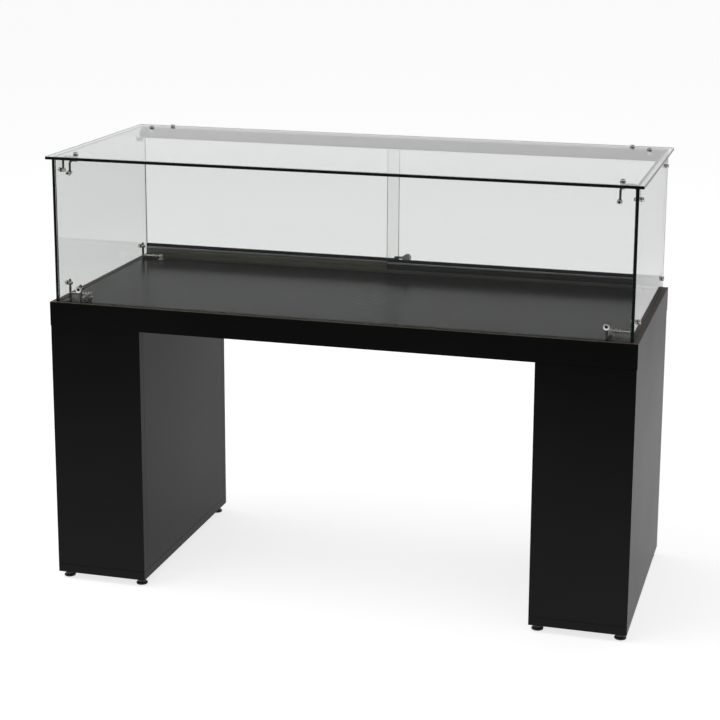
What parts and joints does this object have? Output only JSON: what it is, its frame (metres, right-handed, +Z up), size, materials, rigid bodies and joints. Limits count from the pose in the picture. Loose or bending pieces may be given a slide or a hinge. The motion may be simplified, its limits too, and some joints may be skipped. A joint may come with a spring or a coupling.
{
  "type": "glass display showcase",
  "caption": "Counter-height display showcase: black panel table on box legs with a frameless glass case, rod corner connectors and lockable sliding rear doors.",
  "frame": {"origin": "on the floor, under the middle of the showcase", "axes": "+X along the length to the customer's right, +Y from the customer's side to the doors at the back, +Z up"},
  "size_m": [1.2, 0.5, 0.9043],
  "materials": {
    "black_melamine": "satin black melamine-faced board, edges banded to match",
    "deck_melamine": "smooth dark grey melamine, glossier than the legs",
    "clear_glass": "clear float glass with polished dark green edges",
    "fitting_chrome": "polished chrome plate",
    "track_aluminium": "natural anodised extrusion",
    "track_dark": "dark anodised extrusion",
    "shoe_dark": "dark anodised extrusion with a lighter worn bead",
    "wheel_nylon": "moulded nylon",
    "lock_chrome": "nickel-plated zinc",
    "foot_plastic": "black moulded plastic on a steel stem"
  },
  "bodies": {
    "showcase": {"deck_front_rail": "black_melamine", "deck_rear_rail": "black_melamine", "deck_left_rail": "black_melamine", "deck_right_rail": "black_melamine", "deck_top_panel": "deck_melamine", "deck_bottom_panel": "black_melamine", "left_leg_outer_side": "black_melamine", "left_leg_inner_side": "black_melamine", "left_leg_front": "black_melamine", "left_leg_rear": "black_melamine", "left_leg_top": "black_melamine", "left_leg_base": "black_melamine", "right_leg_outer_side": "black_melamine", "right_leg_inner_side": "black_melamine", "right_leg_front": "black_melamine", "right_leg_rear": "black_melamine", "right_leg_top": "black_melamine", "right_leg_base": "black_melamine", "front_glass": "clear_glass", "left_glass": "clear_glass", "right_glass": "clear_glass", "top_glass": "clear_glass", "top_front_left_connector": "fitting_chrome", "top_front_left_screw": "fitting_chrome", "top_front_left_pin": "fitting_chrome", "top_rear_left_connector": "fitting_chrome", "top_rear_left_screw": "fitting_chrome", "low_front_left_connector": "fitting_chrome", "low_front_left_pin": "fitting_chrome", "low_rear_left_connector": "fitting_chrome", "top_front_right_connector": "fitting_chrome", "top_front_right_screw": "fitting_chrome", "top_front_right_pin": "fitting_chrome", "top_rear_right_connector": "fitting_chrome", "top_rear_right_screw": "fitting_chrome", "low_front_right_connector": "fitting_chrome", "low_front_right_pin": "fitting_chrome", "low_rear_right_connector": "fitting_chrome", "upper_track": "track_aluminium", "lower_track": "track_dark", "track_screw_left": "fitting_chrome", "track_screw_right": "fitting_chrome"},
    "left_leg_foot_front_outer": {"left_leg_foot_front_outer": "foot_plastic"},
    "left_leg_foot_front_inner": {"left_leg_foot_front_inner": "foot_plastic"},
    "left_leg_foot_rear_outer": {"left_leg_foot_rear_outer": "foot_plastic"},
    "left_leg_foot_rear_inner": {"left_leg_foot_rear_inner": "foot_plastic"},
    "right_leg_foot_front_outer": {"right_leg_foot_front_outer": "foot_plastic"},
    "right_leg_foot_front_inner": {"right_leg_foot_front_inner": "foot_plastic"},
    "right_leg_foot_rear_outer": {"right_leg_foot_rear_outer": "foot_plastic"},
    "right_leg_foot_rear_inner": {"right_leg_foot_rear_inner": "foot_plastic"},
    "left_door": {"left_door_glass": "clear_glass", "left_door_shoe": "shoe_dark", "lock_body": "lock_chrome"},
    "left_door_wheel_1": {"left_door_wheel_1": "wheel_nylon"},
    "left_door_wheel_2": {"left_door_wheel_2": "wheel_nylon"},
    "right_door": {"right_door_glass": "clear_glass", "right_door_shoe": "shoe_dark"},
    "right_door_wheel_1": {"right_door_wheel_1": "wheel_nylon"},
    "right_door_wheel_2": {"right_door_wheel_2": "wheel_nylon"},
    "lock_cylinder": {"lock_cylinder": "lock_chrome"}
  },
  "joints": [
    {"name": "left_door_slide", "type": "slide", "parent": "showcase", "child": "left_door", "axis": [1, 0, 0], "range_m": [0, 0.53]},
    {"name": "right_door_slide", "type": "slide", "parent": "showcase", "child": "right_door", "axis": [-1, 0, 0], "range_m": [0, 0.57]},
    {"name": "left_door_wheel_1_spin", "type": "hinge", "parent": "left_door", "child": "left_door_wheel_1", "pos_m": [-0.5225, 0.23362, 0.6094], "axis": [0, 1, 0], "continuous": true},
    {"name": "left_door_wheel_2_spin", "type": "hinge", "parent": "left_door", "child": "left_door_wheel_2", "pos_m": [-0.048, 0.23362, 0.6094], "axis": [0, 1, 0], "continuous": true},
    {"name": "right_door_wheel_1_spin", "type": "hinge", "parent": "right_door", "child": "right_door_wheel_1", "pos_m": [0.048, 0.22238, 0.6094], "axis": [0, 1, 0], "continuous": true},
    {"name": "right_door_wheel_2_spin", "type": "hinge", "parent": "right_door", "child": "right_door_wheel_2", "pos_m": [0.5225, 0.22238, 0.6094], "axis": [0, 1, 0], "continuous": true},
    {"name": "lock_turn", "type": "hinge", "parent": "left_door", "child": "lock_cylinder", "pos_m": [0.0295, 0.24, 0.6315], "axis": [0, 1, 0], "range_deg": [0, 90]},
    {"name": "left_leg_foot_front_outer_level", "type": "slide", "parent": "showcase", "child": "left_leg_foot_front_outer", "axis": [0, 0, -1], "range_m": [0, 0.008]},
    {"name": "left_leg_foot_front_inner_level", "type": "slide", "parent": "showcase", "child": "left_leg_foot_front_inner", "axis": [0, 0, -1], "range_m": [0, 0.008]},
    {"name": "left_leg_foot_rear_outer_level", "type": "slide", "parent": "showcase", "child": "left_leg_foot_rear_outer", "axis": [0, 0, -1], "range_m": [0, 0.008]},
    {"name": "left_leg_foot_rear_inner_level", "type": "slide", "parent": "showcase", "child": "left_leg_foot_rear_inner", "axis": [0, 0, -1], "range_m": [0, 0.008]},
    {"name": "right_leg_foot_front_outer_level", "type": "slide", "parent": "showcase", "child": "right_leg_foot_front_outer", "axis": [0, 0, -1], "range_m": [0, 0.008]},
    {"name": "right_leg_foot_front_inner_level", "type": "slide", "parent": "showcase", "child": "right_leg_foot_front_inner", "axis": [0, 0, -1], "range_m": [0, 0.008]},
    {"name": "right_leg_foot_rear_outer_level", "type": "slide", "parent": "showcase", "child": "right_leg_foot_rear_outer", "axis": [0, 0, -1], "range_m": [0, 0.008]},
    {"name": "right_leg_foot_rear_inner_level", "type": "slide", "parent": "showcase", "child": "right_leg_foot_rear_inner", "axis": [0, 0, -1], "range_m": [0, 0.008]}
  ],
  "couplings": [
    {"joint": "left_door_wheel_1_spin", "follows": "left_door_slide", "rad_per_m": 142.86},
    {"joint": "left_door_wheel_2_spin", "follows": "left_door_slide", "rad_per_m": 142.86},
    {"joint": "right_door_wheel_1_spin", "follows": "right_door_slide", "rad_per_m": -142.86},
    {"joint": "right_door_wheel_2_spin", "follows": "right_door_slide", "rad_per_m": -142.86}
  ]
}
